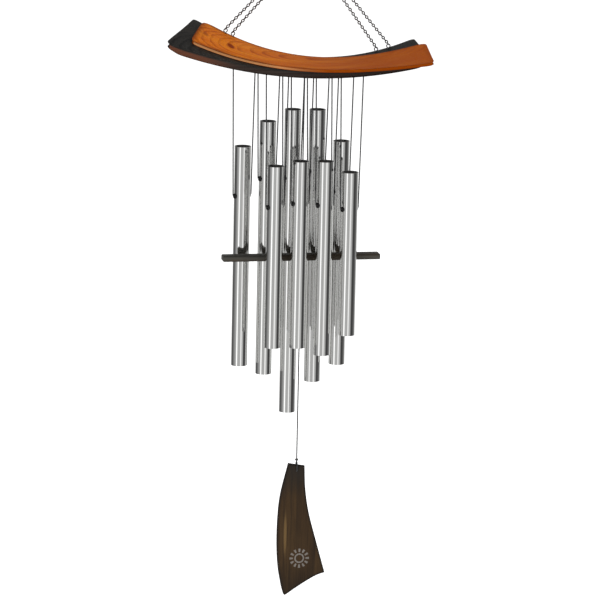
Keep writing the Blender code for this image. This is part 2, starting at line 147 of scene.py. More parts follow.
def streaked(tree, place, stretch, size, detail=3.0, roughness=0.5):
    """Noise whose spots are size metres across, drawn out along each axis by stretch."""
    scaled = add_node(tree, "ShaderNodeMapping", {"Vector": place, "Scale": tuple(1 / s for s in stretch)})
    grain = {"Vector": scaled, "Scale": 1 / size, "Detail": detail, "Roughness": roughness}
    return add_node(tree, "ShaderNodeTexNoise", grain)


def amount(tree, *spans):
    """How much there is of something: its spans multiplied. A span is a socket, or a tuple of a socket, the two
    values that it runs smoothly between, and what they become (0 and 1 where not given)."""
    whole = None
    for span in spans:
        if isinstance(span, tuple):
            value, low, high, *ends = span
            to_low, to_high = ends or (0.0, 1.0)
            limits = {"From Min": low, "From Max": high, "To Min": to_low, "To Max": to_high}
            span = add_node(tree, "ShaderNodeMapRange", {"Value": value, **limits}, interpolation_type="SMOOTHSTEP")
        if whole is None:
            whole = span
        else:
            whole = add_node(tree, "ShaderNodeMath", {0: whole, 1: span}, operation="MULTIPLY")
    return whole


def polished_aluminium():
    """Extruded aluminium tube, polished along its length: a near mirror with fine drawn lines."""
    material, tree, shader, place = new_material("polished_aluminium")
    lines = streaked(tree, place, (1, 1, 260), 0.9 * MM, 4)
    broad = streaked(tree, place, (1, 1, 60), 5 * MM, 1)
    height = add_node(tree, "ShaderNodeMath", {0: broad, 1: 3.0, 2: lines}, operation="MULTIPLY_ADD")
    bump = add_node(tree, "ShaderNodeBump", {"Height": height, "Strength": 1.0, "Distance": 0.008 * MM})
    tone = add_node(tree, "ShaderNodeValToRGB", {"Fac": lines}, [(0.3, "#DEDEDD"), (0.7, "#F2F2F0")])
    rough = amount(tree, (lines, 0.25, 0.8, 0.03, 0.09))
    plug(tree, shader, Base_Color=tone, Metallic=1.0, Normal=bump, Roughness=rough)
    return material


def milled_aluminium():
    """Aluminium as it leaves the press and the saw: dull, inside the tube and on its cut ends."""
    material, tree, shader, place = new_material("milled_aluminium")
    lines = streaked(tree, place, (1, 1, 40), 0.6 * MM, 3)
    bump = add_node(tree, "ShaderNodeBump", {"Height": lines, "Strength": 0.6, "Distance": 0.02 * MM})
    tone = add_node(tree, "ShaderNodeValToRGB", {"Fac": lines}, [(0.3, "#A4A4A3"), (0.7, "#C6C6C4")])
    rough = amount(tree, (lines, 0.3, 0.7, 0.32, 0.46))
    plug(tree, shader, Base_Color=tone, Metallic=1.0, Normal=bump, Roughness=rough)
    return material


def zinc_plated_steel():
    """Zinc plated on drawn steel wire and dulled by weather: a soft, dark grey shine with faint cloudy patches."""
    material, tree, shader, place = new_material("zinc_plated_steel")
    clouds = streaked(tree, place, (1, 1, 1), 1.8 * MM, 4)
    bump = add_node(tree, "ShaderNodeBump", {"Height": clouds, "Strength": 0.4, "Distance": 0.03 * MM})
    tone = add_node(tree, "ShaderNodeValToRGB", {"Fac": clouds}, [(0.3, "#5A5B5D"), (0.7, "#858788")])
    rough = amount(tree, (clouds, 0.3, 0.7, 0.26, 0.44))
    plug(tree, shader, Base_Color=tone, Metallic=1.0, Normal=bump, Roughness=rough)
    return material


def moulded_rubber():
    """Black EPDM rubber from a mould: matt, with a faint bloom."""
    material, tree, shader, place = new_material("moulded_rubber")
    bloom = streaked(tree, place, (1, 1, 1), 2.2 * MM, 5)
    bump = add_node(tree, "ShaderNodeBump", {"Height": bloom, "Strength": 0.5, "Distance": 0.04 * MM})
    tone = add_node(tree, "ShaderNodeValToRGB", {"Fac": bloom}, [(0.35, "#0C0C0D"), (0.75, "#1D1D1E")])
    rough = amount(tree, (bloom, 0.3, 0.7, 0.5, 0.7))
    plug(tree, shader, Base_Color=tone, Normal=bump, Roughness=rough)
    return material


def laid_polyester():
    """Polyester cord laid from three strands: a soft sheen, with the fibres' own light and dark."""
    material, tree, shader, place = new_material("laid_polyester")
    fibres = streaked(tree, place, (1, 1, 3), 0.35 * MM, 4)
    bump = add_node(tree, "ShaderNodeBump", {"Height": fibres, "Strength": 0.7, "Distance": 0.05 * MM})
    tone = add_node(tree, "ShaderNodeValToRGB", {"Fac": fibres}, [(0.3, "#1E1E1F"), (0.7, "#3A3A3B")])
    plug(tree, shader, Base_Color=tone, Normal=bump, Roughness=0.72, Sheen_Weight=0.1, Sheen_Roughness=0.4)
    return material


def sawn_grain(tree, place, pith, along, ring, wander):
    """Lengthwise sawn wood: growth rings about a far pith, drawn out along the board, with fibres and broad clouds.

    pith is the heart's place in metres, ring the width of one year's growth, along the axis that the grain follows.
    Returns late wood, fibres and clouds, each 0 to 1."""
    stretch = [14.0 if axis == along else 1.0 for axis in "XYZ"]
    moved = add_node(
        tree, "ShaderNodeMapping",
        {
            "Vector": place, "Location": tuple(-p / s for p, s in zip(pith, stretch)),
            "Scale": tuple(1 / s for s in stretch),
        },
    )
    rings = add_node(
        tree, "ShaderNodeTexWave",
        {
            "Vector": moved, "Scale": TAU / 20 / ring, "Distortion": wander,
            "Detail": 3.0, "Detail Scale": 0.35, "Detail Roughness": 0.55,
        },
        wave_type="RINGS", rings_direction=along, wave_profile="SAW",
        out="Fac",
    )
    year = [(0.0, 0.1), (0.55, 0.22), (0.86, 0.95), (0.93, 1.0), (1.0, 0.1)]
    late = add_node(tree, "ShaderNodeValToRGB", {"Fac": rings}, year)
    fibres = streaked(tree, place, [60.0 if axis == along else 1.0 for axis in "XYZ"], 0.8 * MM, 4, 0.6)
    clouds = streaked(tree, place, [4.0 if axis == along else 1.0 for axis in "XYZ"], 22 * MM, 3, 0.55)
    return late, fibres, clouds


def patch(tree, place, centre, size):
    """1 at a place, falling smoothly to 0 at size metres along each axis."""
    away = add_node(tree, "ShaderNodeVectorMath", {0: place, 1: centre}, operation="SUBTRACT")
    scaled = add_node(tree, "ShaderNodeVectorMath", {0: away, 1: tuple(1 / s for s in size)}, operation="MULTIPLY")
    reach = add_node(tree, "ShaderNodeVectorMath", {0: scaled}, out="Value", operation="LENGTH")
    return amount(tree, (reach, 0.0, 1.0, 1.0, 0.0))


def stained(tree, wood, hex_colour, *spans):
    """Lays a stain over the wood, as thickly as the spans say."""
    return add_node(
        tree, "ShaderNodeMixRGB",
        {"Fac": amount(tree, *spans), "Color1": wood, "Color2": linear(hex_colour)},
    )


def split(tree, vector):
    """The lengthwise, crosswise and upright parts of a vector."""
    return [add_node(tree, "ShaderNodeSeparateXYZ", {"Vector": vector}, out=axis) for axis in "XYZ"]


GRAIN_BUMP = 0.12 * MM
SWIRL_LIFT = 9 * MM
KNOT_CENTRE = (-0.090, -0.003, -0.136)
# Each knot's place, its reach along the three axes, and how dark it is.
KNOTS = [
    (KNOT_CENTRE, (0.0065, 0.014, 0.014), 0.9),
    ((-0.1190, 0.008, -0.125), (0.006, 0.010, 0.010), 0.55),
]


def honey_stained_pine():
    """Sawn pine with a honey orange stain and an oil finish: matt, with streaked grain that bends round two red-brown
    knots, darker worn edges, and a painted highlight: a paler tone on the front face of its left part."""
    material, tree, shader, place = new_material("honey_stained_pine")
    swirl = patch(tree, place, KNOT_CENTRE, (0.034, 0.034, 0.034))
    rise = add_node(tree, "ShaderNodeMath", {0: swirl, 1: SWIRL_LIFT}, operation="MULTIPLY")
    lift = add_node(tree, "ShaderNodeCombineXYZ", {"Y": rise})
    bent = add_node(tree, "ShaderNodeVectorMath", {0: place, 1: lift}, operation="ADD")
    late, fibres, clouds = sawn_grain(tree, bent, (0, 0.012, -0.205), "X", 4.2 * MM, 5.0)
    colour = stained(tree, linear("#C2640C"), "#903B02", late)
    colour = stained(tree, colour, "#D27D14", (clouds, 0.35, 0.7, 0.0, 0.6))
    colour = stained(tree, colour, "#7E3503", (fibres, 0.35, 0.75, 0.0, 0.45))
    for centre, size, strength in KNOTS:
        knot = patch(tree, place, centre, size)
        colour = stained(tree, colour, "#6B1D02", (knot, 0.0, 0.6, 0.0, strength))
    rim = add_node(tree, "ShaderNodeAttribute", out="Fac", attribute_name="rim")
    depth = add_node(tree, "ShaderNodeAttribute", out="Fac", attribute_name="depth")
    colour = stained(tree, colour, "#642A04", rim, (clouds, 0.3, 0.6, 0.6, 1.0))
    facing = split(tree, add_node(tree, "ShaderNodeNewGeometry", out="Normal"))[1]
    along = split(tree, place)[0]
    colour = stained(tree, colour, "#863A02", (along, -0.10, 0.10, 0.0, 0.75))
    # Painted highlight: a paler tone laid on the front face of the left part, where the front edge catches the light.
    painted_front_highlight = [(facing, -0.8, -0.4, 1.0, 0.0), (depth, 0.1, 0.4), (along, -0.06, 0.02, 0.9, 0.0)]
    colour = stained(tree, colour, "#B98355", *painted_front_highlight)
    height = add_node(tree, "ShaderNodeMath", {0: fibres, 1: late}, operation="SUBTRACT")
    bump = add_node(tree, "ShaderNodeBump", {"Height": height, "Strength": 0.35, "Distance": GRAIN_BUMP})
    rough = amount(tree, (fibres, 0.3, 0.7, 0.42, 0.56))
    plug(tree, shader, Base_Color=colour, Normal=bump, Roughness=rough, Specular_IOR_Level=0.02)
    return material


def black_stained_pine():
    """Sawn pine stained black: the grain barely shows, and the front face turns red-brown towards the left end."""
    material, tree, shader, place = new_material("black_stained_pine")
    late, fibres, clouds = sawn_grain(tree, place, (0, -0.02, -0.215), "X", 3.6 * MM, 4.0)
    colour = stained(tree, linear("#272522"), "#151312", late)
    colour = stained(tree, colour, "#0F0D0C", (fibres, 0.4, 0.75, 0.0, 0.5))
    colour = stained(tree, colour, "#332D26", (clouds, 0.45, 0.75, 0.0, 0.35))
    along = split(tree, place)[0]
    facing = split(tree, add_node(tree, "ShaderNodeNewGeometry", out="Normal"))[1]
    depth = add_node(tree, "ShaderNodeAttribute", out="Fac", attribute_name="depth")
    # Red-brown on the front face below the top, strongest at the left end and broken up by the fibres.
    front_face_red_brown = [
        (along, -0.140, -0.085, 1.0, 0.12), (facing, -0.75, -0.35, 1.0, 0.0),
        (depth, 0.15, 0.45), (fibres, 0.25, 0.55, 0.6, 1.0),
    ]
    colour = stained(tree, colour, "#57301D", *front_face_red_brown)
    bump = add_node(tree, "ShaderNodeBump", {"Height": fibres, "Strength": 0.4, "Distance": GRAIN_BUMP})
    rough = amount(tree, (fibres, 0.3, 0.7, 0.5, 0.7))
    plug(tree, shader, Base_Color=colour, Normal=bump, Roughness=rough, Specular_IOR_Level=0.2)
    return material


MARK_CENTRE = (0.0052, -0.0025, -0.7655)
MARK_INNER = 5.2 * MM
MARK_LINE = 1.0 * MM
MARK_RAYS = 12
MARK_RAY_START = 7.6 * MM
MARK_RAY_END = 12.2 * MM
PALE_STREAK = ((-0.0128, -0.0025, -0.7350), (0.0030, 0.0060, 0.0400))


def printed_mark(tree, place):
    """1 on the sail's mark, 0 off it: a plain ring with short rays round it, on the front face only."""
    away = add_node(tree, "ShaderNodeVectorMath", {0: place, 1: MARK_CENTRE}, operation="SUBTRACT")
    flat = add_node(tree, "ShaderNodeVectorMath", {0: away, 1: (1, 0, 1)}, operation="MULTIPLY")
    reach = add_node(tree, "ShaderNodeVectorMath", {0: flat}, out="Value", operation="LENGTH")
    off = add_node(tree, "ShaderNodeMath", {0: reach, 1: MARK_INNER}, operation="SUBTRACT")
    off = add_node(tree, "ShaderNodeMath", {0: off}, operation="ABSOLUTE")
    ring = amount(tree, (off, MARK_LINE * 0.8, MARK_LINE, 1.0, 0.0))
    across, _, upright = split(tree, away)
    turn = add_node(tree, "ShaderNodeMath", {0: upright, 1: across}, operation="ARCTAN2")
    beat = add_node(tree, "ShaderNodeMath", {0: turn, 1: MARK_RAYS}, operation="MULTIPLY")
    beat = add_node(tree, "ShaderNodeMath", {0: beat}, operation="COSINE")
    rays = amount(
        tree, (beat, 0.0, 0.25), (reach, MARK_RAY_START, MARK_RAY_START + MARK_LINE / 3),
        (reach, MARK_RAY_END - MARK_LINE / 3, MARK_RAY_END, 1.0, 0.0),
    )
    ink = add_node(tree, "ShaderNodeMath", {0: ring, 1: rays}, operation="MAXIMUM")
    facing = split(tree, add_node(tree, "ShaderNodeNewGeometry", out="Normal"))[1]
    front = add_node(tree, "ShaderNodeMath", {0: facing, 1: -0.9}, operation="LESS_THAN")
    return amount(tree, ink, front)


def walnut_stained_wood(name, along, pith, early_wood, late_wood, sail=False):
    """Sawn hardwood with a walnut stain: dark brown with lighter streaks. The sail has dark edges and ends, a pale
    streak, and a thinly printed mark through which the fibres show."""
    material, tree, shader, place = new_material(name)
    late, fibres, clouds = sawn_grain(tree, place, pith, along, 5.5 * MM, 9.0)
    colour = stained(tree, linear(early_wood), late_wood, late)
    colour = stained(tree, colour, "#46331A", (clouds, 0.4, 0.7, 0.0, 0.4))
    colour = stained(tree, colour, "#1C140E", (fibres, 0.4, 0.75, 0.0, 0.6))
    if sail:
        upright = split(tree, place)[2]
        streak = patch(tree, place, *PALE_STREAK)
        rim = add_node(tree, "ShaderNodeAttribute", out="Fac", attribute_name="rim")
        for hex_colour, *spans in (
            ("#221F1B", (upright, -0.695, -0.655, 0.0, 0.72)),
            ("#1B140D", (upright, -0.805, -0.765, 0.5, 0.0)),
            ("#6C5431", (streak, 0.0, 0.8, 0.0, 0.6)),
            ("#191411", (rim, 0.1, 1.0, 0.0, 0.85)),
            ("#B4B2B0", printed_mark(tree, place), (fibres, 0.3, 0.6, 0.36, 0.18)),
        ):
            colour = stained(tree, colour, hex_colour, *spans)
    bump = add_node(tree, "ShaderNodeBump", {"Height": fibres, "Strength": 0.4, "Distance": GRAIN_BUMP})
    rough = amount(tree, (fibres, 0.3, 0.7, 0.45, 0.62))
    plug(tree, shader, Base_Color=colour, Normal=bump, Roughness=rough, Specular_IOR_Level=0.15)
    return material


# ---------------------------------------------------------------- mesh makers

def place_piece(name, mesh, materials, body=None):
    """Puts a finished mesh in the scene, on its body."""
    piece = bpy.data.objects.new(name, mesh)
    bpy.context.scene.collection.objects.link(piece)
    for material in materials:
        mesh.materials.append(material)
    if body:
        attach(piece, body)
    return piece


def to_mesh(bm, name):
    mesh = bpy.data.meshes.new(name)
    bm.to_mesh(mesh)
    bm.free()
    return mesh


def smoothed(mesh, sharp=35):
    """Smooth shading, broken at edges that turn by more than so many degrees."""
    mesh.shade_smooth()
    mesh.set_sharp_from_angle(angle=math.radians(sharp))
    return mesh


def finished_mesh(bm, name, sharp=40):
    bmesh.ops.recalc_face_normals(bm, faces=bm.faces)
    return smoothed(to_mesh(bm, name), sharp)


def made_piece(bm, name, material, body=None, sharp=40):
    """A piece of one material straight from a bmesh."""
    return place_piece(name, finished_mesh(bm, name, sharp), [material], body)


def round_section(radius, count):
    ring = [(radius * math.cos(TAU * k / count), radius * math.sin(TAU * k / count)) for k in range(count)]
    return lambda run: ring


# Across one strand of a laid cord: the groove, then the strand's crown.
STRAND = (0.76, 0.95, 1.0, 0.95)


def laid_section(radius, lay):
    """Three strands that turn once about the cord in each length of lay."""
    count = 3 * len(STRAND)

    def ring(run):
        turn = TAU * run / lay
        out = []
        for k in range(count):
            reach, angle = radius * STRAND[k % len(STRAND)], TAU * k / count + turn
            out.append((reach * math.cos(angle), reach * math.sin(angle)))
        return out

    return ring


def sweep(bm, path, section, closed=False):
    """Carries a section along a path without twisting it. section(run) gives its points at that length along."""
    spots = [Vector(p) for p in path]
    count = len(spots)
    ahead = []
    for i in range(count):
        before = spots[i - 1] if closed or i else spots[i]
        after = spots[(i + 1) % count] if closed or i < count - 1 else spots[i]
        ahead.append((after - before).normalized())
    sides, runs = [ahead[0].orthogonal().normalized()], [0.0]
    for i in range(1, count + closed):
        here = ahead[i % count]
        side = ahead[i - 1].rotation_difference(here) @ sides[-1]
        sides.append((side - side.dot(here) * here).normalized())
        runs.append(runs[-1] + (spots[i % count] - spots[i - 1]).length)
    slip = 0.0
    if closed:
        slip = math.atan2(ahead[0].dot(sides[0].cross(sides[-1])), sides[0].dot(sides[-1]))
    rings = []
    for i in range(count):
        side = Matrix.Rotation(-slip * runs[i] / runs[-1], 3, ahead[i]) @ sides[i]
        up = ahead[i].cross(side)
        rings.append([bm.verts.new(spots[i] + side * a + up * b) for a, b in section(runs[i])])
    for a, b in zip(rings, rings[1:] + (rings[:1] if closed else [])):
        for k in range(len(a)):
            bm.faces.new((a[k - 1], a[k], b[k], b[k - 1]))
    if not closed:
        bm.faces.new(rings[0])
        bm.faces.new(rings[-1])


def length_of(path, closed=False):
    spots = [Vector(p) for p in path]
    return sum((b - a).length for a, b in zip(spots, spots[1:] + (spots[:1] if closed else [])))


def evenly_spaced(path, step, closed=False):
    """The same path with its points a step apart."""
    spots = [Vector(p) for p in path] + ([Vector(path[0])] if closed else [])
    total = length_of(path, closed)
    count = max(2, round(total / step))
    out, i, done = [], 0, 0.0
    for k in range(count + (not closed)):
        want = total * k / count
        while i < len(spots) - 2 and done + (spots[i + 1] - spots[i]).length < want:
            done += (spots[i + 1] - spots[i]).length
            i += 1
        leg = (spots[i + 1] - spots[i]).length
        out.append(spots[i].lerp(spots[i + 1], min(1.0, (want - done) / leg) if leg else 0.0))
    return out


def eased(corners, radius, closed=False, steps=6):
    """A path through straight runs with its corners rounded."""
    spots = [Vector(c) for c in corners]
    out = []
    for i, corner in enumerate(spots):
        if not closed and i in (0, len(spots) - 1):
            out.append(corner)
            continue
        back, on = spots[i - 1] - corner, spots[(i + 1) % len(spots)] - corner
        a = corner + back.normalized() * min(radius, back.length / 2.05)
        b = corner + on.normalized() * min(radius, on.length / 2.05)
        for k in range(steps + 1):
            t = k / steps
            out.append(a * (1 - t) ** 2 + corner * 2 * t * (1 - t) + b * t ** 2)
    return out


def lathe(bm, profile, sides, turn=None, spot=(0, 0, 0)):
    """A closed ring-shaped or solid turning. profile is a loop of (radius, height) pairs; radius 0 makes a tip."""
    turn = turn or Matrix.Identity(3)
    rings = []
    for radius, height in profile:
        if radius == 0:
            rings.append([bm.verts.new(turn @ Vector((0, 0, height)) + Vector(spot))])
            continue
        circle = round_section(radius, sides)(0)
        rings.append([bm.verts.new(turn @ Vector((x, y, height)) + Vector(spot)) for x, y in circle])
    hollow = profile[0][0] > 0
    for a, b in zip(rings, rings[1:] + (rings[:1] if hollow else [])):
        for k in range(sides):
            corners = [a[k % len(a)], a[(k + 1) % sides % len(a)], b[(k + 1) % sides % len(b)], b[k % len(b)]]
            bm.faces.new(list(dict.fromkeys(corners)))


def drill(bm, radius, top, bottom, sides, spot, turn=None):
    """A straight round cutter from top to bottom, measured from a spot."""
    lathe(bm, [(0, top), (radius, top), (radius, bottom), (0, bottom)], sides, turn, spot)


def carve(mesh, cutter_bm, name):
    """Cuts the closed shapes in a bmesh out of a mesh."""
    bmesh.ops.recalc_face_normals(cutter_bm, faces=cutter_bm.faces)
    body = bpy.data.objects.new(name + "_body", mesh)
    tool = bpy.data.objects.new(name + "_tool", to_mesh(cutter_bm, name + "_tool"))
    for obj in (body, tool):
        bpy.context.scene.collection.objects.link(obj)
    boolean = body.modifiers.new("carve", "BOOLEAN")
    boolean.object = tool
    boolean.solver = "EXACT"
    boolean.operation = "DIFFERENCE"
    return baked(body, name, [tool])


def baked(obj, name, with_others=()):
    """Applies an object's modifiers, removes it and its helpers, and returns the mesh."""
    graph = bpy.context.evaluated_depsgraph_get()
    graph.update()
    mesh = bpy.data.meshes.new_from_object(obj.evaluated_get(graph))
    mesh.name = name
    for other in (obj, *with_others):
        bpy.data.objects.remove(other, do_unlink=True)
    return mesh


def softened(mesh, name, width, segments):
    """Rounds every hard edge of a mesh."""
    body = bpy.data.objects.new(name + "_body", mesh)
    bpy.context.scene.collection.objects.link(body)
    bevel = body.modifiers.new("soften", "BEVEL")
    bevel.width = width
    bevel.segments = segments
    bevel.limit_method = "ANGLE"
    bevel.angle_limit = math.radians(45)
    return baked(body, name)


# ---------------------------------------------------------------- boards

BOARD_Z = -158 * MM
BASE_CORNERS = [(-0.173, -0.050), (0.140, -0.050), (0.141, 0.050), (-0.124, 0.050)]
UPPER_CORNERS = [(-0.141, -0.030), (0.137, -0.085), (0.146, 0.005), (-0.112, 0.052)]
BASE_THICK = 8.5 * MM
BASE_TIP_THICK = 5.5 * MM
BASE_TAPER = 16 * MM
UPPER_THICK = 3.5 * MM
BOARD_GAP = 0.4 * MM
BASE_ROUNDS = [6 * MM, 6 * MM, 6 * MM, 6 * MM]
UPPER_ROUNDS = [6 * MM, 8 * MM, 11 * MM, 15 * MM]
EYES = {
    "l1": (-0.0885, 0.044, -6.4 * MM), "l2": (-0.0795, 0.044, -3.0 * MM),
    "r1": (0.095, 0.044, 3.0 * MM), "r2": (0.110, 0.044, 6.4 * MM),
}
CORD_RADIUS = 0.85 * MM
CORD_HOLE = 1.25 * MM
CORD_SIDE = 13.4 * MM
CORD_DEPTH = 1.0 * MM
RIM_WIDTH = 4 * MM
BASE_EDGE = 1.5 * MM
UPPER_EDGE = 1.1 * MM
BASE_HOLLOW = 2.2 * MM
SCREWS = (1, 2, 3)
THROUGH = 20 * MM
# Cutters as (radius, height) pairs: the stopper's seat with the cord's hole under it, and a countersunk screw's hole.
STOPPER_SEAT = [
    (0, 6 * MM), (2.9 * MM, 6 * MM), (2.9 * MM, -5.6 * MM),
    (CORD_HOLE, -5.6 * MM), (CORD_HOLE, -THROUGH), (0, -THROUGH),
]
SCREW_HOLE = [
    (0, 9.3 * MM), (1.9 * MM, 9.3 * MM), (1.9 * MM, 2.6 * MM),
    (3.9 * MM, 0.6 * MM), (3.9 * MM, -10 * MM), (0, -10 * MM),
]


def base_top(x, y):
    """Both boards follow one bent, rolled and slightly twisted surface."""
    return BOARD_Z + (1.40 + 9.0 * y) * x * x + (-0.080 - 0.92 * y) * x + 0.03 * y


def base_under(x, y):
    """The base board's lower face: it thins out towards both tips."""
    across = (y - BASE_CORNERS[0][1]) / (BASE_CORNERS[3][1] - BASE_CORNERS[0][1])
    left = BASE_CORNERS[0][0] + (BASE_CORNERS[3][0] - BASE_CORNERS[0][0]) * across
    right = BASE_CORNERS[1][0] + (BASE_CORNERS[2][0] - BASE_CORNERS[1][0]) * across
    near = max(0.0, min(1.0, min(x - left, right - x) / BASE_TAPER))
    near = near * near * (3 - 2 * near)
    return base_top(x, y) - (BASE_TIP_THICK + (BASE_THICK - BASE_TIP_THICK) * near)


def upper_top(x, y):
    return base_top(x, y) + BOARD_GAP + UPPER_THICK


def upper_under(x, y):
    return base_top(x, y) + BOARD_GAP


def slab(outline, thick, edge, cuts_along, cuts_across):
    """A flat panel with round edges over an outline, cut into a grid so that it can be bent."""
    turns = [math.radians(a) for a in (0, 22.5, 45, 67.5, 90)]
    rings = [(inset_ring(outline, edge * (1 - math.cos(a))), thick / 2 - edge * (1 - math.sin(a))) for a in turns]
    bm = bmesh.new()
    levels = [(points, -h) for points, h in reversed(rings)] + rings
    loops = [[bm.verts.new((p.x, p.y, h)) for p in points] for points, h in levels]
    for a, b in zip(loops, loops[1:]):
        for k in range(len(outline)):
            bm.faces.new((a[k - 1], a[k], b[k], b[k - 1]))
    for loop in (loops[0], loops[-1]):
        bm.faces.new(loop)
    bmesh.ops.recalc_face_normals(bm, faces=bm.faces)
    for axis, cuts in ((0, cuts_along), (1, cuts_across)):
        low, high = min(p[axis] for p in outline), max(p[axis] for p in outline)
        for i in range(1, cuts):
            plane = Vector((0, 0, 0))
            plane[axis] = 1
            spot = plane * (low + (high - low) * i / cuts)
            bmesh.ops.bisect_plane(bm, geom=bm.verts[:] + bm.edges[:] + bm.faces[:], plane_co=spot, plane_no=plane)
    return bm


def bent_board(name, corners, rounds, thick, edge, top, under, hollow=0.0):
    """A curved board over a four-sided plan with rounded corners.

    top and under give each face's height, hollow how far the left end curves inwards."""
    plan = []
    for i, (corner, size) in enumerate(zip(corners, rounds)):
        three = [(*corners[i - 1], 0), (*corner, 0), (*corners[(i + 1) % 4], 0)]
        plan += [p.to_2d() for p in eased(three, size, steps=8)[1:-1]]
    last, first = plan[-1], plan[0]
    side = (first - last).normalized()
    for k in range(1, 8):
        plan.append(last.lerp(first, k / 8) + Vector((-side.y, side.x)) * hollow * math.sin(math.pi * k / 8))
    bm = slab(plan, thick, edge, 64, 14)
    for vert in bm.verts:
        x, y = vert.co.x, vert.co.y
        low, high = under(x, y), top(x, y)
        vert.co.z = low + (vert.co.z / thick + 0.5) * (high - low)
    return to_mesh(bm, name)


def outside_plan(corners, x, y):
    """Distance in from the nearest side of a four-sided plan."""
    best = 1.0
    for (ax, ay), (bx, by) in zip(corners, corners[1:] + corners[:1]):
        side = math.hypot(bx - ax, by - ay)
        best = min(best, ((bx - ax) * (y - ay) - (by - ay) * (x - ax)) / side)
    return best


def write_share(mesh, name, share):
    """Stores a number from 0 to 1 on each point of a mesh, for its material to use."""
    data = mesh.attributes.new(name, "FLOAT", "POINT")
    data.data.foreach_set("value", [max(0.0, min(1.0, share(v.co))) for v in mesh.vertices])


def cord_loop(name):
    """A tube's cord: up through one hole, along the groove, down through the other, and through the sleeve."""
    body = "tube_" + name
    pivot = PIVOTS[body]
    low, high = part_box("sleeve_" + name)
    node = (low + high) / 2
    across = Vector((-math.cos(SLEEVE_TURN), -math.sin(SLEEVE_TURN), 0)) * (SLEEVE_HALF + 1.6 * MM)
    left, right = pivot.x - CORD_SIDE, pivot.x + CORD_SIDE
    third = CORD_SIDE / 3
    middle = [(x, pivot.y, base_top(x, pivot.y) - CORD_DEPTH) for x in (pivot.x - third, pivot.x + third)]
    return [
        (left, pivot.y, pivot.z), (left, pivot.y, base_top(left, pivot.y) - CORD_DEPTH), *middle,
        (right, pivot.y, base_top(right, pivot.y) - CORD_DEPTH), (right, pivot.y, pivot.z),
        node - across, node + across,
    ]


def build_boards(looks):
    base = bent_board(
        "curved_base_board", BASE_CORNERS, BASE_ROUNDS, BASE_THICK, BASE_EDGE, base_top, base_under, BASE_HOLLOW,
    )
    upper = bent_board(
        "curved_upper_board", UPPER_CORNERS, UPPER_ROUNDS, UPPER_THICK, UPPER_EDGE, upper_top, upper_under,
    )

    holes = bmesh.new()
    for name in TUBES:
        route = cord_loop(name)
        ends = [Vector(route[0]) - Vector((0, 0, 4 * MM)), Vector(route[5]) - Vector((0, 0, 4 * MM))]
        groove = eased([ends[0], *route[1:5], ends[1]], 1.6 * MM)
        sweep(holes, groove, round_section(CORD_HOLE, 12))
    lathe(holes, STOPPER_SEAT, 24, None, (0, 0, base_top(0, 0)))
    above = bmesh.new()
    for i in SCREWS:
        low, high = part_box(f"board_screw_{i}")
        middle = (low + high) / 2
        spot = (middle.x, middle.y, low.z)
        lathe(holes, SCREW_HOLE, 32, None, spot)
        drill(above, 1.9 * MM, 9.3 * MM, -4 * MM, 16, spot)
    for x, y, _ in EYES.values():
        for tool, wanted in ((holes, True), (above, x < 0)):
            if wanted:
                drill(tool, 0.85 * MM, 12 * MM, -7.3 * MM, 16, (x, y, eye_foot(x, y)))
    base = carve(base, holes, "curved_base_board")
    upper = carve(upper, above, "curved_upper_board")
    for mesh, corners, faces, node, look, slot in (
        (base, BASE_CORNERS, (base_top, base_under), "base_board", "black_pine", "black_wood"),
        (upper, UPPER_CORNERS, (upper_top, upper_under), "upper_board", "honey_pine", "honey_wood"),
    ):
        smoothed(mesh)
        top, under = faces
        write_share(mesh, "rim", lambda co: 1 - outside_plan(corners, co.x, co.y) / RIM_WIDTH)
        write_share(mesh, "depth", lambda co: (top(co.x, co.y) - co.z) / (top(co.x, co.y) - under(co.x, co.y)))
        piece = place_piece(mesh.name, mesh, [looks[look]], "canopy")
        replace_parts(piece, node)


# ---------------------------------------------------------------- screws, eyes, chains and ring

RING_RADIUS = 13 * MM
RING_WIRE = 1.5 * MM
RING_Z = -(RING_RADIUS - RING_WIRE)
# The weld's bead: how far round the ring, how much thicker than the wire, and how long.
BEAD_PLACE = 5 * MM
BEAD_RISE = 0.09
BEAD_SPREAD = 0.7 * MM
EYE_RADIUS = 2.1 * MM
EYE_WIRE = 0.6 * MM
EYE_SHANK = 7 * MM
EYE_LIFT = 0.9 * MM
# Where the eye's wire starts, in degrees, and how far it goes round.
EYE_FROM = -62
EYE_ROUND = 304
EYE_COLLAR = [
    (0.62 * MM, 0.05 * MM), (1.5 * MM, 0.05 * MM), (1.6 * MM, 0.3 * MM), (1.3 * MM, 0.55 * MM), (0.62 * MM, 0.6 * MM),
]
LINK_WIRE = 0.65 * MM
LINK_WIDTH = 4.1 * MM
LINK_PITCH = 3.7 * MM
END_WIRE = 0.65 * MM
END_WIDTH = 7.0 * MM
END_LENGTH = 10.0 * MM
END_GAP = 0.4 * MM
# Half a countersunk screw's outline, from its point down to its head.
SCREW_PROFILE = [
    (0, 9.0 * MM), (0.5 * MM, 8.6 * MM), (1.55 * MM, 7.6 * MM), (1.6 * MM, 2.3 * MM), (3.5 * MM, 0.4 * MM),
    (3.6 * MM, 0.25 * MM), (3.5 * MM, 0.05 * MM), (3.3 * MM, 0), (0, 0),
]
# The cross recess: half its length and half its slot's width.
RECESS_ARM = 1.8 * MM
RECESS_HALF = 0.4 * MM


def eye_foot(x, y):
    """Top of the wood under an eye: the upper board on the left, the base board on the right."""
    return base_top(x, y) + (BOARD_GAP + UPPER_THICK if x < 0 else 0)


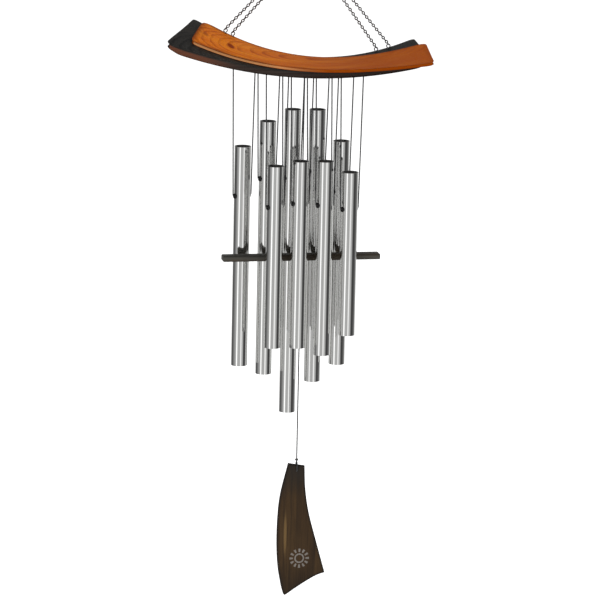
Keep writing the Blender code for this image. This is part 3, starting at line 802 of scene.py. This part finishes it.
def build_ring(looks):
    """A round wire ring, with a small bead where its ends are welded."""
    bm = bmesh.new()
    turns = [TAU * k / 96 for k in range(96)]
    path = [(RING_RADIUS * math.cos(a), 0, RING_Z + RING_RADIUS * math.sin(a)) for a in turns]

    def wire(run):
        off = abs(run - BEAD_PLACE)
        swell = 1 + BEAD_RISE * math.exp(-(off / BEAD_SPREAD) ** 2)
        return round_section(RING_WIRE * swell, 20)(run)

    sweep(bm, path, wire, closed=True)
    ring = made_piece(bm, "welded_ring", looks["zinc"], "ring")
    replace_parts(ring, "hanging_ring")


def link_path(middle, along, across, length, width, wire):
    """An oval link's centre line."""
    bend = width / 2 - wire
    straight = length / 2 - width / 2
    path = []
    for end in (1, -1):
        for k in range(9):
            a = math.pi * k / 8
            path.append(middle + end * (along * (straight + bend * math.sin(a)) + across * (bend * math.cos(a))))
    return path


def build_chains(looks):
    """Oval wire links, each a quarter turn from the next, from the eye up to a wider end link on the ring."""
    for name, (x, y, ring_x) in EYES.items():
        foot = eye_foot(x, y)
        centre = foot + EYE_RADIUS + EYE_WIRE + EYE_LIFT
        bm = bmesh.new()
        path = [Vector((x, y, foot + rise)) for rise in (-EYE_SHANK, -EYE_SHANK / 2, 0, 0.7 * MM)]
        for k in range(33):
            a = math.radians(EYE_FROM + EYE_ROUND * k / 32)
            path.append(Vector((x + EYE_RADIUS * math.cos(a), y, centre + EYE_RADIUS * math.sin(a))))
        sweep(bm, path, round_section(EYE_WIRE, 12))
        lathe(bm, EYE_COLLAR, 20, None, (x, y, foot))
        eye = made_piece(bm, "eye_screw_" + name, looks["zinc"], "canopy")
        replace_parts(eye, "chain_eye_" + name)

        start = Vector((x, y, centre + EYE_RADIUS))
        end = Vector((ring_x, 0, RING_Z - math.sqrt(RING_RADIUS ** 2 - ring_x ** 2)))
        along = (end - start).normalized()
        first = along.cross(Vector((0, 1, 0))).normalized()
        flat = [first.cross(along).normalized(), first]
        end_top = end + along * (RING_WIRE + 2 * END_WIRE + END_GAP)
        end_low = end_top - along * END_LENGTH
        bottom = start - along * (EYE_WIRE + 2 * LINK_WIRE)
        reach = (end_low - bottom).length + 2 * END_WIRE
        count = 2 * round((reach - 2 * LINK_WIRE) / LINK_PITCH / 2)
        pitch = (reach - 2 * LINK_WIRE) / count
        bm = bmesh.new()
        for i in range(count):
            middle = bottom + along * ((i + 0.5) * pitch + LINK_WIRE)
            path = link_path(middle, along, flat[i % 2], pitch + 2 * LINK_WIRE, LINK_WIDTH, LINK_WIRE)
            sweep(bm, path, round_section(LINK_WIRE, 8), closed=True)
        path = link_path((end_top + end_low) / 2, along, flat[0], END_LENGTH, END_WIDTH, END_WIRE)
        sweep(bm, path, round_section(END_WIRE, 10), closed=True)
        chain = made_piece(bm, "link_chain_" + name, looks["zinc"], "canopy")
        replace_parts(chain, "chain_" + name)


def build_screws(looks):
    """Countersunk screws with a cross recess, up through the base board."""
    for i in SCREWS:
        node = f"board_screw_{i}"
        low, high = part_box(node)
        middle = (low + high) / 2
        bm = bmesh.new()
        lathe(bm, SCREW_PROFILE, 32, None, (middle.x, middle.y, low.z))
        bmesh.ops.recalc_face_normals(bm, faces=bm.faces)
        screw = to_mesh(bm, node)
        recess = bmesh.new()
        arm, half = RECESS_ARM, RECESS_HALF
        cross = []
        for quarter in range(4):
            turn = Matrix.Rotation(quarter * math.pi / 2 + 0.5, 3, "Z")
            cross += [turn @ Vector(p) for p in ((half, -half, 0), (arm, -half, 0), (arm, half, 0))]
        rings = [
            [recess.verts.new(p + Vector((middle.x, middle.y, low.z + h))) for p in cross]
            for h in (-1 * MM, 1.2 * MM)
        ]
        for k in range(len(cross)):
            recess.faces.new((rings[0][k - 1], rings[0][k], rings[1][k], rings[1][k - 1]))
        for ring in rings:
            recess.faces.new(ring)
        screw = carve(screw, recess, "countersunk_screw_%d" % i)
        piece = place_piece(screw.name, smoothed(screw), [looks["zinc"]], "canopy")
        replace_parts(piece, node)


# ---------------------------------------------------------------- tubes, sleeves and their cords

TUBE_RADIUS = 10 * MM
TUBE_WALL = 1.5 * MM
TUBE_EASE = 0.3 * MM
TUBE_BORE = 3.35 * MM
SLEEVE_RADIUS = 3.2 * MM
SLEEVE_BORE = 1.3 * MM
SLEEVE_HALF = 11.3 * MM
SLEEVE_LIP = 0.7 * MM
SLEEVE_FLARE = 0.45 * MM
SLEEVE_GROOVE = [(SLEEVE_RADIUS, 10.1 * MM), (3.05 * MM, 9.9 * MM), (3.05 * MM, 8.6 * MM), (SLEEVE_RADIUS, 8.4 * MM)]
SLEEVE_TURN = math.radians(24)
CORD_LAY = 5.4 * MM
CORD_STEP = 0.7 * MM


def tube_profile(low, high, node_z):
    """Loop of (radius, height) around the tube's wall, with eased rims and rings above and below the cross holes."""
    inner = TUBE_RADIUS - TUBE_WALL
    stops = [node_z + 7 * MM, node_z - 7 * MM]
    turns = [math.radians(d) for d in (0, 30, 60, 90)]
    ease = [(TUBE_EASE * (1 - math.cos(a)), TUBE_EASE * (1 - math.sin(a))) for a in turns]
    profile = [(TUBE_RADIUS - back, high - down) for back, down in reversed(ease)]
    profile += [(TUBE_RADIUS, z) for z in stops]
    profile += [(TUBE_RADIUS - back, low + down) for back, down in ease]
    profile += [(inner + back, low + down) for back, down in reversed(ease)]
    profile += [(inner, z) for z in reversed(stops)]
    profile += [(inner + back, high - down) for back, down in ease]
    return profile


def wall_normals(mesh, axis, low, high):
    """Gives the tube's walls exact round normals, so that the polish reflects without facets."""
    inner = TUBE_RADIUS - TUBE_WALL
    normals = []
    for polygon in mesh.polygons:
        for index in polygon.vertices:
            co = mesh.vertices[index].co - axis
            out = Vector((co.x, co.y, 0))
            reach = out.length
            out.normalize()
            face = polygon.normal
            rim = min(co.z - low, high - co.z) < TUBE_EASE * 1.01
            if abs(face.z) < 0.05 and abs(face.dot(out)) > 0.97:
                normals.append(out if face.dot(out) > 0 else -out)
            elif rim and abs(face.z) < 0.98:
                edge = TUBE_RADIUS - TUBE_EASE if reach > inner + TUBE_WALL / 2 else inner + TUBE_EASE
                end = high - TUBE_EASE if co.z > (low + high) / 2 else low + TUBE_EASE
                bend = out * (reach - edge) + Vector((0, 0, co.z - end))
                normals.append(bend.normalized() if bend.length > 1e-6 else face)
            else:
                normals.append(face)
        away = Vector((polygon.center.x - axis.x, polygon.center.y - axis.y, 0)).normalized()
        polygon.material_index = 0 if polygon.normal.dot(away) > 0.6 else 1
    mesh.normals_split_custom_set(normals)


def build_tube(name, looks):
    body = "tube_" + name
    low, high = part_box(body)
    sleeve_low, sleeve_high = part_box("sleeve_" + name)
    node = (sleeve_low + sleeve_high) / 2
    axis = Vector(((low.x + high.x) / 2, (low.y + high.y) / 2, 0))
    bm = bmesh.new()
    lathe(bm, tube_profile(low.z, high.z, node.z), 72, None, axis)
    bmesh.ops.recalc_face_normals(bm, faces=bm.faces)
    mesh = to_mesh(bm, body)
    bore = bmesh.new()
    aim = Matrix.Rotation(SLEEVE_TURN, 3, "Z") @ Matrix.Rotation(math.pi / 2, 3, "Y")
    drill(bore, TUBE_BORE, THROUGH, -THROUGH, 40, node, aim)
    mesh = carve(mesh, bore, "chime_" + body)
    mesh.shade_smooth()
    wall_normals(mesh, axis, low.z, high.z)
    tube = place_piece(mesh.name, mesh, [looks["polished"], looks["milled"]], body)
    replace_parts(tube, body)

    bm = bmesh.new()
    half = [(SLEEVE_BORE, SLEEVE_HALF - SLEEVE_FLARE), (SLEEVE_BORE + SLEEVE_FLARE, SLEEVE_HALF)]
    for a in (math.radians(d) for d in (90, 60, 30, 0)):
        half.append((SLEEVE_RADIUS - SLEEVE_LIP * (1 - math.cos(a)), SLEEVE_HALF - SLEEVE_LIP * (1 - math.sin(a))))
    half += SLEEVE_GROOVE
    lathe(bm, half + [(r, -h) for r, h in reversed(half)], 32, aim, node)
    sleeve = made_piece(bm, "grommet_sleeve_" + name, looks["rubber"], body)
    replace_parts(sleeve, "sleeve_" + name)

    route = evenly_spaced(eased(cord_loop(name), 1.6 * MM, closed=True), CORD_STEP, closed=True)
    total = length_of(route, closed=True)
    bm = bmesh.new()
    sweep(bm, route, laid_section(CORD_RADIUS, total / round(total / CORD_LAY)), closed=True)
    cord = made_piece(bm, "laid_cord_" + name, looks["cord"], sharp=60)
    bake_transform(cord)
    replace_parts(cord, "sling_" + name, "top_loop_" + name)


# ---------------------------------------------------------------- striker and sail

# The sail's outline, side by side round it, as (across, up) places in metres.
SAIL_SIDES = [
    [(-0.0105, -0.6465), (0.0098, -0.6500)],
    [(0.0098, -0.6500), (0.0112, -0.6780), (0.0160, -0.7085), (0.0262, -0.7460), (0.0372, -0.7845)],
    [(0.0372, -0.7845), (0.0250, -0.7888), (0.0060, -0.8000), (-0.0105, -0.8112)],
    [(-0.0105, -0.8112), (-0.0132, -0.8106), (-0.0165, -0.8000)],
    [
        (-0.0165, -0.8000), (-0.0208, -0.7760), (-0.0228, -0.7480),
        (-0.0224, -0.7150), (-0.0195, -0.6850), (-0.0105, -0.6465),
    ],
]
SAIL_THICK = 5 * MM
SAIL_HOLE = (0, 0, -0.656)
KNOT_REACH = 2.2 * MM


def overhand_knot(bm, centre, reach, cord_radius):
    """A cord drawn up into an overhand knot."""
    size = (reach - cord_radius) / 3
    path = []
    for k in range(60):
        t = TAU * k / 60
        trefoil = (math.sin(t) + 2 * math.sin(2 * t), math.cos(t) - 2 * math.cos(2 * t), -1.1 * math.sin(3 * t))
        path.append(Vector(centre) + size * Vector(trefoil))
    sweep(bm, path, round_section(cord_radius, 10), closed=True)


def straight_cord(name, top, bottom, looks):
    bm = bmesh.new()
    sweep(bm, evenly_spaced([top, bottom], CORD_STEP), laid_section(CORD_RADIUS, CORD_LAY))
    return made_piece(bm, name, looks["cord"], sharp=60)


def build_striker(looks):
    low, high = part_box("striker")
    middle = (low + high) / 2
    size = high - low
    bm = bmesh.new()
    bmesh.ops.create_cube(bm, size=1)
    bmesh.ops.scale(bm, verts=bm.verts, vec=size)
    bmesh.ops.translate(bm, verts=bm.verts, vec=middle)
    lengthwise = [e for e in bm.edges if abs(e.verts[0].co.x - e.verts[1].co.x) > size.x / 2]
    bmesh.ops.subdivide_edges(bm, edges=lengthwise, cuts=24)
    mesh = softened(to_mesh(bm, "striker_bar"), "striker_bar", 1.5 * MM, 4)
    hole = bmesh.new()
    drill(hole, 1.0 * MM, THROUGH, -THROUGH, 20, middle)
    mesh = smoothed(carve(mesh, hole, "striker_bar"))
    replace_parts(place_piece("striker_bar", mesh, [looks["striker_wood"]], "striker"), "striker")

    cord_low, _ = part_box("striker_cord")
    _, anchor_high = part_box("striker_anchor")
    cord = straight_cord("laid_cord_striker", (0, 0, anchor_high.z - 2.4 * MM), (0, 0, cord_low.z), looks)
    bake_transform(cord)
    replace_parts(cord, "striker_cord")

    bm = bmesh.new()
    overhand_knot(bm, (0, 0, anchor_high.z - 2.4 * MM), 2.4 * MM, CORD_RADIUS)
    knot = made_piece(bm, "knot_in_board", looks["cord"], "canopy", sharp=60)
    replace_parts(knot, "striker_anchor")
    knot_low, knot_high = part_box("striker_knot")
    bm = bmesh.new()
    overhand_knot(bm, (knot_low + knot_high) / 2, KNOT_REACH, CORD_RADIUS)
    knot = made_piece(bm, "knot_under_striker", looks["cord"], "striker", sharp=60)
    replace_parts(knot, "striker_knot")


def smooth_through(points, steps):
    """A smooth open curve through the points, without its last one."""
    spots = [Vector(p) for p in points]
    spots = [2 * spots[0] - spots[1]] + spots + [2 * spots[-1] - spots[-2]]
    out = []
    for p0, p1, p2, p3 in zip(spots, spots[1:], spots[2:], spots[3:]):
        for k in range(steps):
            t = k / steps
            bend, twist = 2 * p0 - 5 * p1 + 4 * p2 - p3, 3 * p1 - p0 - 3 * p2 + p3
            out.append(0.5 * (2 * p1 + (p2 - p0) * t + bend * t * t + twist * t ** 3))
    return out


def inset_ring(outline, inset):
    """The outline moved in by a distance, corner by corner."""
    out = []
    count = len(outline)
    for i, spot in enumerate(outline):
        back, on = (outline[i - 1] - spot).normalized(), (outline[(i + 1) % count] - spot).normalized()
        normal_in = Vector((-(on - back).y, (on - back).x)).normalized()
        out.append(spot - normal_in * inset)
    return out


def build_sail(looks):
    """A flat panel with rounded edges, cut into a fine grid so that the edge tone follows its outline."""
    outline = [p for side in SAIL_SIDES for p in smooth_through(side, 8)]
    bm = slab(outline, SAIL_THICK, 1.3 * MM, 22, 60)
    bmesh.ops.rotate(bm, verts=bm.verts, matrix=Matrix.Rotation(math.pi / 2, 3, "X"))
    hole = bmesh.new()
    drill(hole, 1.05 * MM, THROUGH, -THROUGH, 24, SAIL_HOLE, Matrix.Rotation(math.pi / 2, 3, "X"))
    mesh = smoothed(carve(to_mesh(bm, "sail_panel"), hole, "sail_panel"))
    sides = list(zip(outline, outline[1:] + outline[:1]))

    def inset(co):
        best = 1.0
        spot = Vector((co.x, co.z))
        for a, b in sides:
            leg = b - a
            t = max(0.0, min(1.0, (spot - a).dot(leg) / leg.length_squared)) if leg.length_squared else 0.0
            best = min(best, (spot - a - leg * t).length)
        return best

    write_share(mesh, "rim", lambda co: 1 - inset(co) / (4 * MM))
    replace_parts(place_piece("sail_panel", mesh, [looks["sail_wood"]], "sail"), "sail")

    _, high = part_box("sail_cord")
    knot_low, knot_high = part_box("sail_knot")
    cord = straight_cord("laid_cord_sail", (0, 0, high.z), (0, 0, (knot_low.z + knot_high.z) / 2 + 1.2 * MM), looks)
    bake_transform(cord)
    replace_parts(cord, "sail_cord")

    bm = bmesh.new()
    overhand_knot(bm, (knot_low + knot_high) / 2, KNOT_REACH, CORD_RADIUS)
    knot = made_piece(bm, "knot_over_sail", looks["cord"], "sail", sharp=60)
    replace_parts(knot, "sail_knot")
    reach = SAIL_THICK / 2 + CORD_RADIUS + 0.5 * MM
    start, shoulder = knot_low.z - 0.2 * MM, knot_low.z - 3.0 * MM
    corners = [
        (0, -0.9 * MM, start), (0, -reach, shoulder), (0, -reach, SAIL_HOLE[2]),
        (0, reach, SAIL_HOLE[2]), (0, reach, shoulder), (0, 0.9 * MM, start),
    ]
    bm = bmesh.new()
    sweep(bm, evenly_spaced(eased(corners, 1.3 * MM), CORD_STEP), laid_section(CORD_RADIUS, CORD_LAY))
    loop = made_piece(bm, "laid_loop_sail", looks["cord"], "sail", sharp=60)
    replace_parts(loop, "sail_loop")


# ---------------------------------------------------------------- studio

FLOOR_Z = -1.05
TENT_RADIUS = 2.0
# What the polish sees around it, by the turn to the right from the camera: white paper, black flags and grey room.
TENT_TONES = [
    (-180, 0.85), (-134, 0.75), (-126, 0.05), (-104, 0.10), (-84, 0.22), (-62, 0.42), (-46, 0.50), (-42, 1.35),
    (-30, 1.35), (-26, 0.46), (-8, 0.50), (2, 0.46), (10, 0.60), (15, 1.10), (24, 1.10), (29, 0.55),
    (46, 0.50), (56, 0.12), (76, 0.03), (86, 0.10), (112, 0.14), (124, 0.42), (136, 0.80), (180, 0.85),
]


def build_studio():
    scene = bpy.context.scene
    scene.view_settings.view_transform = "Standard"
    world = bpy.data.worlds.new("white_studio")
    world.use_nodes = True
    world.node_tree.nodes["Background"].inputs["Color"].default_value = (1, 1, 1, 1)
    world.node_tree.nodes["Background"].inputs["Strength"].default_value = 0.9
    scene.world = world

    bm = bmesh.new()
    bmesh.ops.create_circle(bm, cap_ends=True, segments=96, radius=40)
    floor = bpy.data.objects.new("studio_floor", finished_mesh(bm, "studio_floor"))
    floor.location = (0, 0, FLOOR_Z)
    floor.visible_glossy = False
    scene.collection.objects.link(floor)
    paper = bpy.data.materials.new("white_paper")
    paper.use_nodes = True
    plug(
        paper.node_tree, paper.node_tree.nodes["Principled BSDF"], Base_Color=(0.95, 0.95, 0.95, 1), Roughness=1.0,
        Specular_IOR_Level=0.0, Emission_Color=(1, 1, 1, 1), Emission_Strength=0.25,
    )
    floor.data.materials.append(paper)

    for name, place, size, power in (
        ("window_left", (-2.6, -3.2, 1.6), 1.8, 70),
        ("window_right", (3.0, -2.0, 0.8), 1.6, 26),
        ("window_back", (0.8, 3.4, 1.8), 2.0, 36),
    ):
        light = bpy.data.lights.new(name, "AREA")
        light.size = size
        light.energy = power
        lamp = bpy.data.objects.new(name, light)
        lamp.location = place
        lamp.rotation_euler = (Vector((0, 0, -0.4)) - Vector(place)).to_track_quat("-Z", "Y").to_euler()
        lamp.visible_glossy = False
        scene.collection.objects.link(lamp)

    bm = bmesh.new()
    bmesh.ops.create_uvsphere(bm, u_segments=96, v_segments=48, radius=TENT_RADIUS)
    tent = bpy.data.objects.new("light_tent", finished_mesh(bm, "light_tent", 180))
    tent.location = SIGHT_TARGET
    scene.collection.objects.link(tent)
    cloth = bpy.data.materials.new("tent_cloth")
    cloth.use_nodes = True
    tree = cloth.node_tree
    tree.nodes.clear()
    place = add_node(tree, "ShaderNodeTexCoord", out="Object")
    drift = add_node(tree, "ShaderNodeTexNoise", {"Vector": place, "Scale": 0.8, "Detail": 1.0})
    around = add_node(tree, "ShaderNodeTexGradient", {"Vector": place}, gradient_type="RADIAL", out="Fac")
    behind = 0.5 - (math.pi / 2 + SIGHT_LEFT) / TAU
    shift = add_node(tree, "ShaderNodeMath", {0: drift, 1: 0.03, 2: 1.5 - behind - 0.015}, operation="MULTIPLY_ADD")
    turned = add_node(tree, "ShaderNodeMath", {0: around, 1: shift}, operation="ADD")
    share = add_node(tree, "ShaderNodeMath", {0: turned}, operation="FRACT")
    tones = [((degrees + 180) / 360, light) for degrees, light in TENT_TONES]
    tone = add_node(tree, "ShaderNodeValToRGB", {"Fac": share}, tones)
    height = add_node(tree, "ShaderNodeSeparateXYZ", {"Vector": place}, out="Z")
    strength = amount(tree, (height, -0.1, 0.5, 1.0, 0.4))
    glow = add_node(tree, "ShaderNodeEmission", {"Color": tone, "Strength": strength})
    add_node(tree, "ShaderNodeOutputMaterial", {"Surface": glow})
    cloth.cycles.emission_sampling = "NONE"
    tent.data.materials.append(cloth)
    tent.visible_camera = False
    tent.visible_diffuse = False
    tent.visible_shadow = False
    tent.visible_transmission = False


def main():
    set_camera()
    looks = {
        "polished": polished_aluminium(),
        "milled": milled_aluminium(),
        "zinc": zinc_plated_steel(),
        "rubber": moulded_rubber(),
        "cord": laid_polyester(),
        "honey_pine": honey_stained_pine(),
        "black_pine": black_stained_pine(),
        "striker_wood": walnut_stained_wood(
            "dark_stained_striker", "X", (0, 0.01, -0.43), "#45443F", "#2F2E2B",
        ),
        "sail_wood": walnut_stained_wood(
            "walnut_stained_sail", "Z", (0.012, 0.030, 0), "#392814", "#281C10", sail=True,
        ),
    }
    for name in TUBES:
        build_tube(name, looks)
    build_boards(looks)
    build_screws(looks)
    build_ring(looks)
    build_chains(looks)
    build_striker(looks)
    build_sail(looks)
    build_studio()


main()
